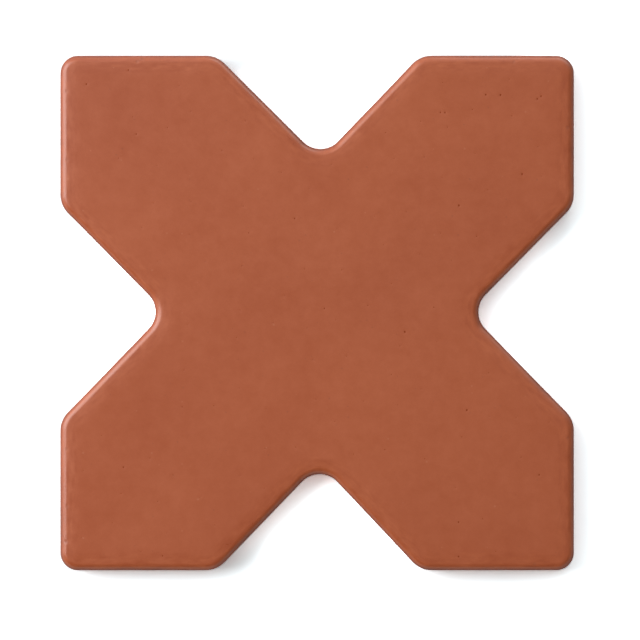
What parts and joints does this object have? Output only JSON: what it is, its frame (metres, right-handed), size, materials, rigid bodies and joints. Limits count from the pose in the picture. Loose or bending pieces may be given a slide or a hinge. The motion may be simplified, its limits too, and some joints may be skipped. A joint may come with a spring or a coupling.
{
  "type": "cross-shaped wall tile",
  "caption": "Cross-shaped fired-clay wall tile with a rounded face edge, a V-notch in each side and a keyed back, laid with star tiles in a star-and-cross pattern.",
  "frame": {"origin": "centre of the back (bed) face, on its lands", "axes": "+Z out of the visible face, +X to the right and +Y up in the picture"},
  "size_m": [0.136, 0.136, 0.0085],
  "materials": {
    "terracotta": "satin"
  },
  "bodies": {
    "root": {"cross_tile": "terracotta"}
  },
  "joints": []
}
